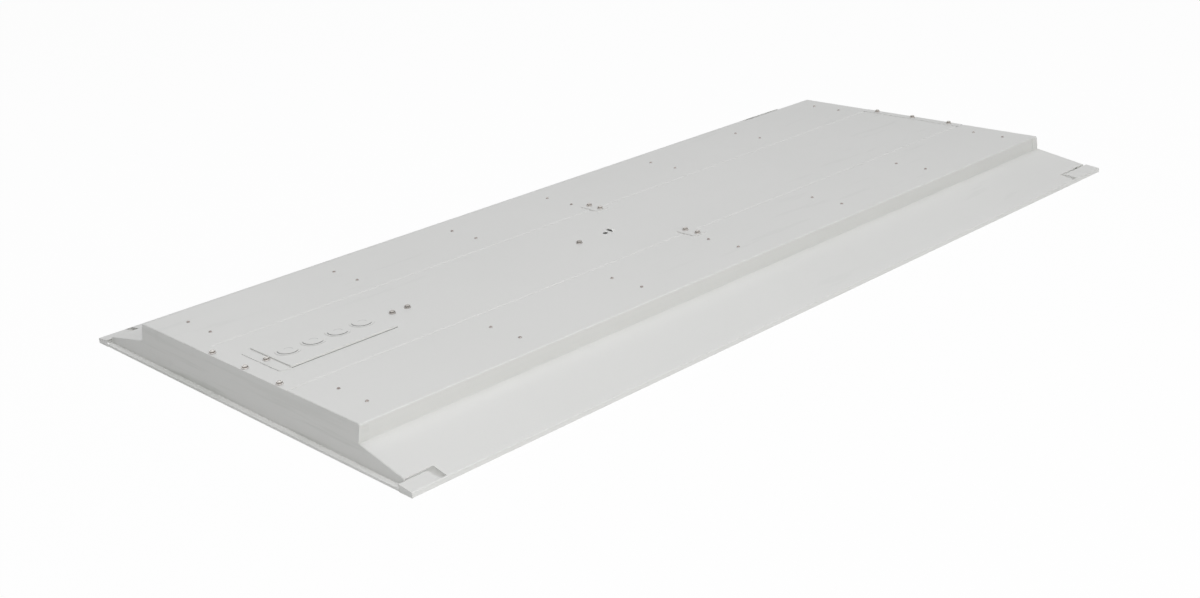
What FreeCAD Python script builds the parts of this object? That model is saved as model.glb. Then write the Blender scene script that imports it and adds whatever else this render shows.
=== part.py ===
import FreeCAD, Part
import os
from math import atan2, cos, radians, sin, tan

os.makedirs("parts", exist_ok=True)
V = FreeCAD.Vector

# Recessed troffer light for a 2 ft by 4 ft lay-in ceiling bay, lying as it is used: the lens side
# looks down, the flange rests on z = 0, +X runs along the fitting and +Z points into the ceiling.
# All sizes are in millimetres.

# Outer size: the nominal bay less the play of a lay-in fitting
LENGTH = 1213.0
WIDTH = 603.0
DECK_HEIGHT = 41.5

# Housing pan, folded from one sheet
SHEET = 0.6
BEND = 0.8
DECK_WIDTH = 418.0
STEP_DEPTH = 18.8
LIP_HEIGHT = 6.1
LIP_RETURN = 5.0
CREASE_Y = 84.0
CREASE_WIDTH = 4.0
CREASE_DEPTH = 0.5
CREASE_SETBACK = 23.2
CREASE_RELIEF_RADIUS = 1.6

# End plates, which lean outwards from the deck to their ledge
PLATE_WIDTH = 562.0
PLATE_SETBACK = 13.2
PLATE_LEAN = 7.2
LEDGE_HEIGHT = 3.4
PLATE_RETURN = 4.0
SEAM = 0.3
TOP_TAB_WIDTH = 171.0
TOP_TAB_REACH = 13.0
SIDE_TAB_REACH = 10.3
SIDE_TAB_LOW = 26.0
SIDE_TAB_HIGH = 39.5
PLATE_SCREW_PITCH = 65.0
PLATE_SCREW_INSET = 5.3

# Hold-down clips, lanced out of the wings at the four corners
CLIP_FREE_EDGE = 280.0
CLIP_SLIT = 1.5
CLIP_DROP = 1.4
CLIP_RISE = 3.8
NEAR_CLIP_LENGTH = 33.5
NEAR_CLIP_SLOT = 8.0
FAR_CLIP_LENGTH = 57.0
FAR_CLIP_SLOT = 10.5
CORNER_SPLIT = 2.4

# Rivets that hold the boards: four rows of seven, the outer ones set in from the deck's ends
NEAR_RIVET_INSET = 36.8
INNER_RIVET_X = (-357.5, -174.0, -8.5, 192.5, 376.5)
FAR_RIVET_INSET = 27.8
RIVET_Y = (-171.0, -123.0, 123.0, 171.0)
RIVET_SHANK = 1.8
RIVET_TAIL_HEIGHT = 1.8
RIVET_HEAD = 3.2
RIVET_HEAD_HEIGHT = 0.9
RIVET_PLAY = 0.1

# LED boards and their packages
BOARD_WIDTH = 20.0
BOARD_THICKNESS = 1.6
BOARD_OVERHANG = 14.5
CHIP_SIZE = 3.0
CHIP_HEIGHT = 0.7
CHIP_PITCH = 50.0
PLUG_LENGTH = 12.0
PLUG_WIDTH = 6.0
PLUG_HEIGHT = 4.2
INLET_SETOFF = 30.0
LINK_SETOFF = 26.0

# Screws
SCREW_SHANK = 1.9
SCREW_PLAY = 0.15
SCREW_WASHER = 4.1
SCREW_WASHER_HEIGHT = 0.7
SCREW_HEX = 3.3
SCREW_HEAD_HEIGHT = 2.7
SCREW_LENGTH = 6.5

# Tie plates across the creases at mid-length
TIE_LENGTH = 33.0
TIE_WIDTH = 22.0
TIE_THICKNESS = 1.0
TIE_CORNER = 2.75
TIE_CENTRE = 86.75
TIE_INNER_SCREW = 76.5
TIE_OUTER_SCREW = 97.0

# Lens rails and the brackets of the inner ones
RAIL = 0.8
RAIL_BEND = 0.5
INNER_RAIL_Y = 87.2
RAIL_FOOT = 15.8
RAIL_BASE = 23.2
LENS_LEDGE = 10.0
COVER_LEDGE = 11.2
OUTER_RAIL_HEIGHT = 12.8
RAIL_END_GAP = 0.5
LEAD_WINDOW_LENGTH = 18.0
LEAD_WINDOW_LOW = 31.0
LEAD_WINDOW_HIGH = 39.0
BRACKET_WIDTH = 20.0
BRACKET_FOOT = 17.0
BRACKET_LEG = 12.0

# Lenses: bowed opal sheets that lie on the rails' ledges
LENS = 1.5
LENS_PLAY = 0.8
LENS_BOW = 8.0
LENS_END_GAP = 1.2

# Driver cover, hooked over the rear inner rail
COVER_SHEET = 0.6
COVER_BEND = 0.5
COVER_FACE_HEIGHT = 14.4
COVER_FACE_WIDTH = 124.0
COVER_HOOK_REACH = 6.6
COVER_TIP_GAP = 1.0
COVER_FLANGE_GAP = 0.7
COVER_END_GAP = 1.2
COVER_SCREW_INSET = 126.5
COVER_SCREW_HEAD = 4.5
COVER_SCREW_HEAD_HEIGHT = 2.2
COVER_SCREW_SHANK = 1.5
COVER_SCREW_LENGTH = 3.6
COVER_SCREW_PLAY = 0.5

# Driver, beside the access plate
DRIVER_SETOFF = 42.6
DRIVER_SCREW_SPACING = 266.4
DRIVER_WIDTH = 30.0
DRIVER_HEIGHT = 21.0
DRIVER_EAR = 1.0
DRIVER_EAR_END = 6.6
DRIVER_EAR_ROOT = 6.4
DRIVER_LID = 0.6
DRIVER_LID_BEND = 0.4
TERMINAL_LENGTH = 8.0
TERMINAL_WIDTH = 26.0
TERMINAL_LOW = 24.0
TERMINAL_HIGH = 34.0
TERMINAL_WIRE_HEIGHT = 29.0
GROUND_SETOFF = 21.5

# Wiring
LEAD_RADIUS = 1.0
LEAD_BEND = 6.0
OUTPUT_BEND = 10.0
LEAD_PITCH = 6.0
LEAD_END_GAP = 0.2
SOCKET_INSET = 3.0
SOCKET_LENGTH = 18.0
CONNECTOR_PLUG_LENGTH = 20.0
SOCKET_Y = -50.0
SOCKET_WIDTH = 20.0
SOCKET_HEIGHT = 8.0
PLUG_STEP = 0.8
PUSH_IN_RADIUS = 1.5
SUPPLY_TURNS = (18.0, 11.0)
SUPPLY_END_Y = (-5.0, 5.0)
RING_OUTER = 4.4
RING_THICKNESS = 0.6
RING_BARREL = 7.0

# Access plate over the wiring opening
ACCESS_INSET = 36.3
ACCESS_LENGTH = 138.0
ACCESS_WIDTH = 79.0
ACCESS_RISE = 2.5
ACCESS_SHEET = 0.8
ACCESS_TAB = 13.0
ACCESS_TAB_CORNER = 5.0
ACCESS_SCREW_INSET = 5.0
ACCESS_SCREW_PLAY = 0.5
TONGUE_WIDTH = 40.0
TONGUE_REACH = 7.0
TONGUE_GAP = 0.3
TONGUE_SLOT = 2.8
OPENING_MARGIN = 10.0
OPENING_WIDTH = 62.0
KNOCKOUT_COUNT = 4
KNOCKOUT_PITCH = 32.0
KNOCKOUT_INSET = 22.0
KNOCKOUT_OUTER = 14.3
KNOCKOUT_INNER = 11.1
KNOCKOUT_RISE = 0.35

# Tether hole in the deck and the lanced bridge beside it
TETHER_X = -65.0
TETHER_RADIUS = 2.75
BRIDGE_SETOFF = 10.8
BRIDGE_WIDTH = 3.5
BRIDGE_FRONT = -5.0
BRIDGE_REAR = 8.0
BRIDGE_RISE = 2.6
BRIDGE_SLOPE = 3.0

# Worked out from the sizes above
HALF_LENGTH = LENGTH / 2
HALF_WIDTH = WIDTH / 2
HALF_DECK = DECK_WIDTH / 2
WING_TOP = DECK_HEIGHT - STEP_DEPTH
DECK_UNDER = DECK_HEIGHT - SHEET
DECK_END = HALF_LENGTH - PLATE_SETBACK
CREASE_END = HALF_LENGTH - CREASE_SETBACK
LEAN = PLATE_LEAN / (DECK_HEIGHT - LEDGE_HEIGHT)
WING_FALL = (WING_TOP - LIP_HEIGHT) / (HALF_WIDTH - HALF_DECK)
RIVET_X = (NEAR_RIVET_INSET - DECK_END,) + INNER_RIVET_X + (DECK_END - FAR_RIVET_INSET,)
ACCESS_NEAR = ACCESS_INSET - DECK_END
ACCESS_FAR = ACCESS_NEAR + ACCESS_LENGTH
OPENING_NEAR = ACCESS_NEAR + OPENING_MARGIN
OPENING_FAR = ACCESS_FAR - OPENING_MARGIN
KNOCKOUT_X = [ACCESS_NEAR + KNOCKOUT_INSET + i * KNOCKOUT_PITCH for i in range(KNOCKOUT_COUNT)]
DRIVER_NEAR_SCREW = ACCESS_FAR + DRIVER_SETOFF
DRIVER_SCREW_X = (DRIVER_NEAR_SCREW, DRIVER_NEAR_SCREW + DRIVER_SCREW_SPACING)
GROUND_SCREW_X = ACCESS_FAR + GROUND_SETOFF
INLET_X = DRIVER_SCREW_X[1] + INLET_SETOFF
LINK_X = INLET_X + LINK_SETOFF
SOCKET_X = ACCESS_FAR - SOCKET_INSET
COVER_SCREW_X = (COVER_SCREW_INSET - HALF_LENGTH, 0.0, HALF_LENGTH - COVER_SCREW_INSET)
BRIDGE_X = TETHER_X + BRIDGE_SETOFF
BOARD_START = RIVET_X[0] - BOARD_OVERHANG
BOARD_END = RIVET_X[-1] + BOARD_OVERHANG
BOARD_UNDER = DECK_UNDER - BOARD_THICKNESS
PLUG_WIRE_HEIGHT = BOARD_UNDER - PLUG_HEIGHT / 2
LEDGE_TOP = RAIL_BASE + RAIL
HEM_BASE = RAIL_BASE - RAIL
COVER_TIP = INNER_RAIL_Y - COVER_LEDGE
COVER_WALL = COVER_TIP - COVER_TIP_GAP
ACCESS_TOP = DECK_HEIGHT + ACCESS_RISE
BIG = 2 * LENGTH
SAME = 1e-6


def plate_x(height):
    """Distance from mid-length to the outer face of an end plate's leaning web at this height."""
    return DECK_END + LEAN * (DECK_HEIGHT - height)


def wing_z(y):
    """Height of the wing's outer face at this distance from the centre line."""
    return LIP_HEIGHT + WING_FALL * (HALF_WIDTH - abs(y))


def across(u, v):
    """Sketch plane across the fitting: u is y and v is z."""
    return V(0, u, v)


def along(u, v):
    """Sketch plane along the fitting: u is x and v is z."""
    return V(u, 0, v)


def block(x0, x1, y0, y1, z0, z1):
    """Box between two limits on each axis, given in either order."""
    low = V(min(x0, x1), min(y0, y1), min(z0, z1))
    return Part.makeBox(abs(x1 - x0), abs(y1 - y0), abs(z1 - z0), low)


def peg(radius, x, y, z0, z1):
    """Upright cylinder between two heights."""
    return Part.makeCylinder(radius, z1 - z0, V(x, y, z0))


def small_pin(radius, x, y, z0, z1, sides=8):
    """Upright few-sided pin, for what is small and repeats: rivets, screws and their holes."""
    corners = []
    for i in range(sides):
        angle = radians(360 * i / sides)
        corners.append(V(x + radius * cos(angle), y + radius * sin(angle), z0))
    return Part.Face(Part.makePolygon(corners + corners[:1])).extrude(V(0, 0, z1 - z0))


def bent_line(points, offset, left_radius, right_radius):
    """The polyline moved left by offset, as runs and tangent arcs at its corners.

    A corner that turns left takes left_radius and one that turns right takes right_radius.
    """
    line = [V(u, v, 0) for u, v in points]
    heading = [(b - a).normalize() for a, b in zip(line, line[1:])]
    left = [V(-d.y, d.x, 0) for d in heading]
    pieces = []
    start = line[0] + left[0] * offset
    for i in range(1, len(line) - 1):
        mitre = left[i - 1] + left[i]
        corner = line[i] + mitre * (offset / (1 + left[i - 1].dot(left[i])))
        turn = atan2(heading[i - 1].cross(heading[i]).z, heading[i - 1].dot(heading[i]))
        side = 1 if turn > 0 else -1
        radius = left_radius if turn > 0 else right_radius
        reach = radius * tan(abs(turn) / 2)
        first = corner - heading[i - 1] * reach
        last = corner + heading[i] * reach
        centre = first + left[i - 1] * (side * radius)
        middle = centre + (corner - centre).normalize() * radius
        pieces.append((start, first))
        pieces.append((first, middle, last))
        start = last
    pieces.append((start, line[-1] + left[-1] * offset))
    return pieces


def face_of(pieces, place):
    """Face bounded by runs and arcs that follow each other and close."""
    edges = []
    for piece in pieces:
        spots = [place(p.x, p.y) for p in piece]
        if len(spots) == 2:
            edges.append(Part.LineSegment(*spots).toShape())
        else:
            edges.append(Part.Arc(*spots).toShape())
    return Part.Face(Part.Wire(edges))


def folded(points, thickness, inner_radius, place):
    """Section of a folded strip: the points run along one face and the metal lies to their left."""
    outer_radius = inner_radius + thickness
    near = bent_line(points, 0.0, outer_radius, inner_radius)
    far = bent_line(points, thickness, inner_radius, outer_radius)
    back = [tuple(reversed(piece)) for piece in reversed(far)]
    pieces = near + [(near[-1][-1], back[0][0])] + back + [(back[-1][-1], near[0][0])]
    return face_of(pieces, place)


def outline(points, place):
    """Face inside a closed polygon with sharp corners."""
    spots = [place(u, v) for u, v in points]
    return Part.Face(Part.makePolygon(spots + spots[:1]))


def hexagon(radius, u, v):
    """Corner points of a six-sided stand-in for a small circle."""
    turns = [radians(60 * i) for i in range(6)]
    return [(u + radius * cos(turn), v + radius * sin(turn)) for turn in turns]


def run_x(face, x0, x1):
    """Extrude a face that was drawn across the fitting from x0 to x1."""
    solid = face.extrude(V(x1 - x0, 0, 0))
    solid.translate(V(x0, 0, 0))
    return solid


def run_y(face, y0, y1):
    """Extrude a face that was drawn along the fitting from y0 to y1."""
    solid = face.extrude(V(0, y1 - y0, 0))
    solid.translate(V(0, y0, 0))
    return solid


def turned(shape, angle):
    """A copy turned about the upright axis."""
    copy = shape.copy()
    copy.rotate(V(0, 0, 0), V(0, 0, 1), angle)
    return copy


def mirrored(shape):
    """A copy mirrored from the rear long side to the front one."""
    return shape.mirror(V(0, 0, 0), V(0, 1, 0))


def union(shapes):
    """One solid from shapes that meet or overlap."""
    return shapes[0].multiFuse(shapes[1:]).removeSplitter()


def between_plates(gap):
    """Space between the leaning inner faces of the two end plates, less a gap at each."""
    inset = SHEET * (1 + LEAN ** 2) ** 0.5 + gap
    low, high = -DECK_HEIGHT, 2 * DECK_HEIGHT
    foot, head = plate_x(low) - inset, plate_x(high) - inset
    trapezium = [(-foot, low), (foot, low), (head, high), (-head, high)]
    return run_y(outline(trapezium, along), -WIDTH, WIDTH)


def edges_of_length(shape, length):
    """Edges of a shape that measure this length."""
    return [edge for edge in shape.Edges if abs(edge.Length - length) < SAME]


def save(shape, name):
    """Write one piece, or a group of like pieces, under its own name."""
    shape.exportStep("parts/" + name + ".step")


# ---------------------------------------------------------------- housing pan

def pan_outline(creased):
    """Corner points of the pan's outer face, from the rear side over the deck to the front."""
    rear = [(HALF_WIDTH - LIP_RETURN, 0), (HALF_WIDTH, 0), (HALF_WIDTH, LIP_HEIGHT)]
    rear += [(HALF_DECK, WING_TOP), (HALF_DECK, DECK_HEIGHT)]
    if creased:
        rear.append((CREASE_Y + CREASE_WIDTH / 2, DECK_HEIGHT))
        rear.append((CREASE_Y, DECK_HEIGHT - CREASE_DEPTH))
        rear.append((CREASE_Y - CREASE_WIDTH / 2, DECK_HEIGHT))
    return rear + [(-y, z) for y, z in reversed(rear)]


def clip_edges(end):
    """Distance from mid-length to a clip's side edge, and the width of the slot beside it."""
    if end < 0:
        return HALF_LENGTH - NEAR_CLIP_LENGTH, NEAR_CLIP_SLOT
    return HALF_LENGTH - FAR_CLIP_LENGTH, FAR_CLIP_SLOT


def clip(end, side):
    """Corner of the pan: the clip's flap, its side lip and the lip across its end."""
    edge, slot = clip_edges(end)
    proud = end > 0 and side > 0
    tip = CLIP_FREE_EDGE + CLIP_SLIT
    tip_z = wing_z(tip) + (CLIP_RISE if proud else -CLIP_DROP)
    bend_z = LIP_HEIGHT
    points = [(HALF_WIDTH, CORNER_SPLIT), (HALF_WIDTH, bend_z), (tip, tip_z)]
    flap = run_x(folded(points, SHEET, BEND, across), edge, HALF_LENGTH)
    root = PLATE_WIDTH / 2 + SEAM
    root_z = bend_z + (tip_z - bend_z) * (HALF_WIDTH - root) / (HALF_WIDTH - tip)
    end_lip = [(HALF_WIDTH, 0), (HALF_WIDTH, bend_z - BEND), (HALF_WIDTH - BEND, bend_z)]
    end_lip += [(root, root_z), (root, 0)]
    lip = run_x(outline(end_lip, across), HALF_LENGTH - SHEET, HALF_LENGTH)
    shape = union([flap, lip])
    if side < 0:
        shape = mirrored(shape)
    if end < 0:
        shape = shape.mirror(V(0, 0, 0), V(1, 0, 0))
    return shape


def clip_cuts(end, side):
    """Metal that is lanced away from the wing round one clip."""
    edge, slot = clip_edges(end)
    inner = edge - slot
    low = LIP_HEIGHT - BEND - SHEET
    window = block(inner, edge, CLIP_FREE_EDGE, HALF_WIDTH - BEND - SHEET, low, DECK_HEIGHT)
    corner = block(edge, BIG, CLIP_FREE_EDGE, BIG, CORNER_SPLIT, DECK_HEIGHT)
    shape = Part.makeCompound([window, corner])
    if side < 0:
        shape = mirrored(shape)
    if end < 0:
        shape = shape.mirror(V(0, 0, 0), V(1, 0, 0))
    return shape


def plate_notch(end):
    """Room at one end of the pan for the end plate, between the corner clips."""
    inset = SHEET * (1 + LEAN ** 2) ** 0.5 + SEAM
    low, high = -DECK_HEIGHT, 2 * DECK_HEIGHT
    points = [(plate_x(low) - inset, low), (BIG, low), (BIG, high), (plate_x(high) - inset, high)]
    half = PLATE_WIDTH / 2 + SEAM
    shape = run_y(outline(points, along), -half, half)
    return shape if end > 0 else turned(shape, 180)


def tether_bridge():
    """Strip lanced up out of the deck beside the tether hole."""
    crown = DECK_HEIGHT + BRIDGE_RISE
    points = [(BRIDGE_REAR, DECK_HEIGHT), (BRIDGE_REAR - BRIDGE_SLOPE, crown)]
    points += [(BRIDGE_FRONT + BRIDGE_SLOPE, crown), (BRIDGE_FRONT, DECK_HEIGHT)]
    strip = folded(points, SHEET, BEND, across)
    return run_x(strip, BRIDGE_X - BRIDGE_WIDTH / 2, BRIDGE_X + BRIDGE_WIDTH / 2)


def deck_holes():
    """Every hole and opening through the deck."""
    low, high = DECK_UNDER - SHEET, DECK_HEIGHT + SHEET
    screw = SCREW_SHANK + SCREW_PLAY
    holes = []
    for x in RIVET_X:
        for y in RIVET_Y:
            holes.append(small_pin(RIVET_SHANK + RIVET_PLAY, x, y, low, high))
    for x, y in plate_screw_places() + tie_screw_places():
        holes.append(small_pin(screw, x, y, low, high))
    for x in DRIVER_SCREW_X + (GROUND_SCREW_X,):
        holes.append(small_pin(screw, x, 0, low, high))
    for x in (-CREASE_END, CREASE_END):
        for y in (-CREASE_Y, CREASE_Y):
            holes.append(small_pin(CREASE_RELIEF_RADIUS, x, y, low, high))
    holes.append(small_pin(SCREW_SHANK + ACCESS_SCREW_PLAY, access_screw_x(), 0, low, high))
    holes.append(peg(TETHER_RADIUS, TETHER_X, 0, low, high))
    half = OPENING_WIDTH / 2
    holes.append(block(OPENING_NEAR, OPENING_FAR, -half, half, low, high))
    half = TONGUE_WIDTH / 2 + SEAM
    slot_far = ACCESS_FAR + SEAM
    holes.append(block(slot_far - TONGUE_SLOT, slot_far, -half, half, low, high))
    half = BRIDGE_WIDTH / 2
    holes.append(block(BRIDGE_X - half, BRIDGE_X + half, BRIDGE_FRONT + SHEET * 2,
                       BRIDGE_REAR - SHEET * 2, low, high))
    return holes


def housing_pan():
    """Deck, step walls, wings, side lips and corner clips, folded from one sheet."""
    creased = folded(pan_outline(True), SHEET, BEND, across)
    plain = folded(pan_outline(False), SHEET, BEND, across)
    break_x = BRACKET_WIDTH / 2 + SEAM
    pan = union([run_x(plain, -HALF_LENGTH, -CREASE_END), run_x(creased, -CREASE_END, -break_x),
                 run_x(plain, -break_x, break_x), run_x(creased, break_x, CREASE_END),
                 run_x(plain, CREASE_END, HALF_LENGTH)])
    corners = [(end, side) for end in (-1, 1) for side in (-1, 1)]
    pan = pan.cut([plate_notch(-1), plate_notch(1)])
    pan = pan.cut([clip_cuts(end, side) for end, side in corners])
    pan = union([pan] + [clip(end, side) for end, side in corners])
    pan = pan.cut(deck_holes())
    return union([pan, tether_bridge()])


# ---------------------------------------------------------------- end plates

def plate_screw_places():
    """Screws in the top tabs of both end plates."""
    x = DECK_END - PLATE_SCREW_INSET
    rows = (-PLATE_SCREW_PITCH, 0.0, PLATE_SCREW_PITCH)
    return [(end * x, y) for end in (-1, 1) for y in rows]


def end_plate():
    """Far end plate: ledge and lip at its foot, leaning web, tabs over the deck and step walls."""
    foot = plate_x(LEDGE_HEIGHT)
    web = [(HALF_LENGTH - PLATE_RETURN, 0), (HALF_LENGTH, 0), (HALF_LENGTH, LEDGE_HEIGHT)]
    web += [(foot, LEDGE_HEIGHT), (plate_x(DECK_HEIGHT), DECK_HEIGHT)]
    half = PLATE_WIDTH / 2
    body = run_y(folded(web, SHEET, SEAM, along), -half, half)
    rise = [(half, wing_z(half)), (HALF_DECK, WING_TOP), (HALF_DECK, DECK_HEIGHT)]
    rim = rise + [(-y, z) for y, z in reversed(rise)]
    pieces = bent_line(rim, 0.0, BEND + SHEET, BEND)
    corners = [V(-half, wing_z(half), 0), V(-half, -1, 0), V(half, -1, 0), V(half, wing_z(half), 0)]
    pieces += list(zip(corners, corners[1:]))
    body = body.common(run_x(face_of(pieces, across), 0, BIG))
    tab_z = DECK_HEIGHT + SHEET
    low_z = DECK_HEIGHT - STEP_DEPTH / 2
    tab = [(plate_x(low_z), low_z), (plate_x(tab_z), tab_z), (DECK_END - TOP_TAB_REACH, tab_z)]
    half = TOP_TAB_WIDTH / 2
    top_tab = run_y(folded(tab, SHEET, SEAM, along), -half, half)
    inner = DECK_END - SIDE_TAB_REACH
    side = [(inner, SIDE_TAB_LOW), (plate_x(SIDE_TAB_LOW), SIDE_TAB_LOW)]
    side += [(plate_x(SIDE_TAB_HIGH), SIDE_TAB_HIGH), (inner, SIDE_TAB_HIGH)]
    side_tab = run_y(outline(side, along), HALF_DECK, HALF_DECK + SHEET)
    plate = union([body, top_tab, side_tab, mirrored(side_tab)])
    screw = SCREW_SHANK + SCREW_PLAY
    places = [(x, y) for x, y in plate_screw_places() if x > 0]
    holes = [small_pin(screw, x, y, DECK_UNDER, tab_z + SHEET) for x, y in places]
    return plate.cut(holes)


# ---------------------------------------------------------------- fasteners

def hex_screw(x, y, seat):
    """Hexagon washer-head sheet-metal screw, pointing down from its seat."""
    shank = small_pin(SCREW_SHANK, x, y, seat - SCREW_LENGTH, seat)
    washer = small_pin(SCREW_WASHER, x, y, seat, seat + SCREW_WASHER_HEIGHT, 12)
    head = small_pin(SCREW_HEX, x, y, seat, seat + SCREW_HEAD_HEIGHT, 6)
    return union([shank, washer, head])


def rivet(x, y):
    """Rivet from under a board up through the deck, where its tail stands proud."""
    shank = small_pin(RIVET_SHANK, x, y, BOARD_UNDER, DECK_HEIGHT + RIVET_TAIL_HEIGHT)
    head = small_pin(RIVET_HEAD, x, y, BOARD_UNDER - RIVET_HEAD_HEIGHT, BOARD_UNDER)
    return union([shank, head])


def tie_screw_places():
    """Two screws in each tie plate."""
    rows = (-TIE_OUTER_SCREW, -TIE_INNER_SCREW, TIE_INNER_SCREW, TIE_OUTER_SCREW)
    return [(0.0, y) for y in rows]


def tie_plate():
    """Rear tie plate, flat on the deck across a crease."""
    half = TIE_WIDTH / 2
    low, high = TIE_CENTRE - TIE_LENGTH / 2, TIE_CENTRE + TIE_LENGTH / 2
    plate = block(-half, half, low, high, DECK_HEIGHT, DECK_HEIGHT + TIE_THICKNESS)
    plate = plate.makeChamfer(TIE_CORNER, edges_of_length(plate, TIE_THICKNESS))
    screw = SCREW_SHANK + SCREW_PLAY
    holes = [small_pin(screw, x, y, 0, DECK_HEIGHT * 2) for x, y in tie_screw_places() if y > 0]
    return plate.cut(holes)


# ---------------------------------------------------------------- boards

def led_board(y):
    """One full-length board in its rivet row."""
    half = BOARD_WIDTH / 2
    board = block(BOARD_START, BOARD_END, y - half, y + half, BOARD_UNDER, DECK_UNDER)
    holes = [small_pin(RIVET_SHANK + RIVET_PLAY, x, y, 0, DECK_HEIGHT) for x in RIVET_X]
    return board.cut(holes)


def led_chips(y):
    """LED packages on one board, evenly spread between neighbouring rivets."""
    half = CHIP_SIZE / 2
    chips = []
    for first, last in zip(RIVET_X, RIVET_X[1:]):
        count = round((last - first) / CHIP_PITCH)
        for i in range(count):
            x = first + (last - first) * (i + 0.5) / count
            chips.append(block(x - half, x + half, y - half, y + half,
                               BOARD_UNDER - CHIP_HEIGHT, BOARD_UNDER))
    return Part.makeCompound(chips)


def board_plug(x, y):
    """Two-pole wire connector on the underside of a board."""
    length, width = PLUG_LENGTH / 2, PLUG_WIDTH / 2
    return block(x - length, x + length, y - width, y + width,
                 BOARD_UNDER - PLUG_HEIGHT, BOARD_UNDER)


def plug_offset():
    """Distance from a board's centre line to the middle of a connector at its edge."""
    return BOARD_WIDTH / 2 - PLUG_WIDTH / 2 - CHIP_HEIGHT


def board_plugs():
    """Inlet on the inner boards, and a link from inner to outer board, on both sides."""
    inner, outer = RIVET_Y[2], RIVET_Y[3]
    rear = [board_plug(INLET_X, inner - plug_offset())]
    rear.append(board_plug(LINK_X, inner + plug_offset()))
    rear.append(board_plug(LINK_X, outer - plug_offset()))
    return Part.makeCompound(rear + [mirrored(plug) for plug in rear])


# ---------------------------------------------------------------- rails, brackets, lenses

def inner_rail():
    """Rear inner rail: foot on the deck, web, lens ledge and hemmed ledge for the cover."""
    foot = INNER_RAIL_Y + RAIL_FOOT
    points = [(foot, DECK_UNDER), (INNER_RAIL_Y, DECK_UNDER), (INNER_RAIL_Y, RAIL_BASE)]
    points += [(INNER_RAIL_Y + LENS_LEDGE, RAIL_BASE)]
    section = run_x(folded(points, RAIL, RAIL_BEND, across), -HALF_LENGTH, HALF_LENGTH)
    hem = block(-HALF_LENGTH, HALF_LENGTH, COVER_TIP, INNER_RAIL_Y + LENS_LEDGE, HEM_BASE, RAIL_BASE)
    rail = union([section, hem]).common(between_plates(RAIL_END_GAP))
    half = LEAD_WINDOW_LENGTH / 2
    window = block(INLET_X - half, INLET_X + half, INNER_RAIL_Y - RAIL, INNER_RAIL_Y + 2 * RAIL,
                   LEAD_WINDOW_LOW, LEAD_WINDOW_HIGH)
    screw = SCREW_SHANK + SCREW_PLAY
    hole = small_pin(screw, 0, TIE_OUTER_SCREW, DECK_UNDER - 2 * RAIL, DECK_HEIGHT)
    return rail.cut([window, hole])


def rail_screw_holes():
    """Holes for the driver cover's screws in the front inner rail."""
    y = -(COVER_TIP + COVER_LEDGE / 2)
    radius = COVER_SCREW_SHANK + COVER_SCREW_PLAY
    return [small_pin(radius, x, y, HEM_BASE - RAIL, RAIL_BASE + RAIL) for x in COVER_SCREW_X]


def outer_rail():
    """Rear outer rail: an angle on the inside of the step wall."""
    wall = HALF_DECK - SHEET
    points = [(wall - LENS_LEDGE, RAIL_BASE), (wall, RAIL_BASE), (wall, RAIL_BASE + OUTER_RAIL_HEIGHT)]
    section = run_x(folded(points, RAIL, RAIL_BEND, across), -HALF_LENGTH, HALF_LENGTH)
    return section.common(between_plates(RAIL_END_GAP))


def spine_bracket():
    """Rear bracket: an angle under the deck whose leg holds the inner rail's web."""
    web = INNER_RAIL_Y
    points = [(web, DECK_UNDER - BRACKET_LEG), (web, DECK_UNDER), (web - BRACKET_FOOT, DECK_UNDER)]
    half = BRACKET_WIDTH / 2
    bracket = run_x(folded(points, RAIL, RAIL_BEND, across), -half, half)
    screw = SCREW_SHANK + SCREW_PLAY
    hole = small_pin(screw, 0, TIE_INNER_SCREW, DECK_UNDER - 2 * RAIL, DECK_HEIGHT)
    return bracket.cut(hole)


def lens():
    """Rear lens: flat margins on the ledges and a shallow arc bowed down between them."""
    low = INNER_RAIL_Y + RAIL + LENS_PLAY
    high = HALF_DECK - SHEET - RAIL - LENS_PLAY
    left = INNER_RAIL_Y + LENS_LEDGE + LENS_PLAY
    right = HALF_DECK - SHEET - LENS_LEDGE - LENS_PLAY
    middle = (left + right) / 2
    under, top = LEDGE_TOP, LEDGE_TOP + LENS
    pieces = [(V(low, under, 0), V(left, under, 0))]
    pieces.append((V(left, under, 0), V(middle, under - LENS_BOW, 0), V(right, under, 0)))
    pieces.append((V(right, under, 0), V(high, under, 0)))
    pieces.append((V(high, under, 0), V(high, top, 0)))
    pieces.append((V(high, top, 0), V(right - LENS / 2, top, 0)))
    crown = V(middle, top - LENS_BOW, 0)
    pieces.append((V(right - LENS / 2, top, 0), crown, V(left + LENS / 2, top, 0)))
    pieces.append((V(left + LENS / 2, top, 0), V(low, top, 0)))
    pieces.append((V(low, top, 0), V(low, under, 0)))
    sheet = run_x(face_of(pieces, across), -HALF_LENGTH, HALF_LENGTH)
    return sheet.common(between_plates(LENS_END_GAP))


# ---------------------------------------------------------------- driver and its cover

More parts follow.
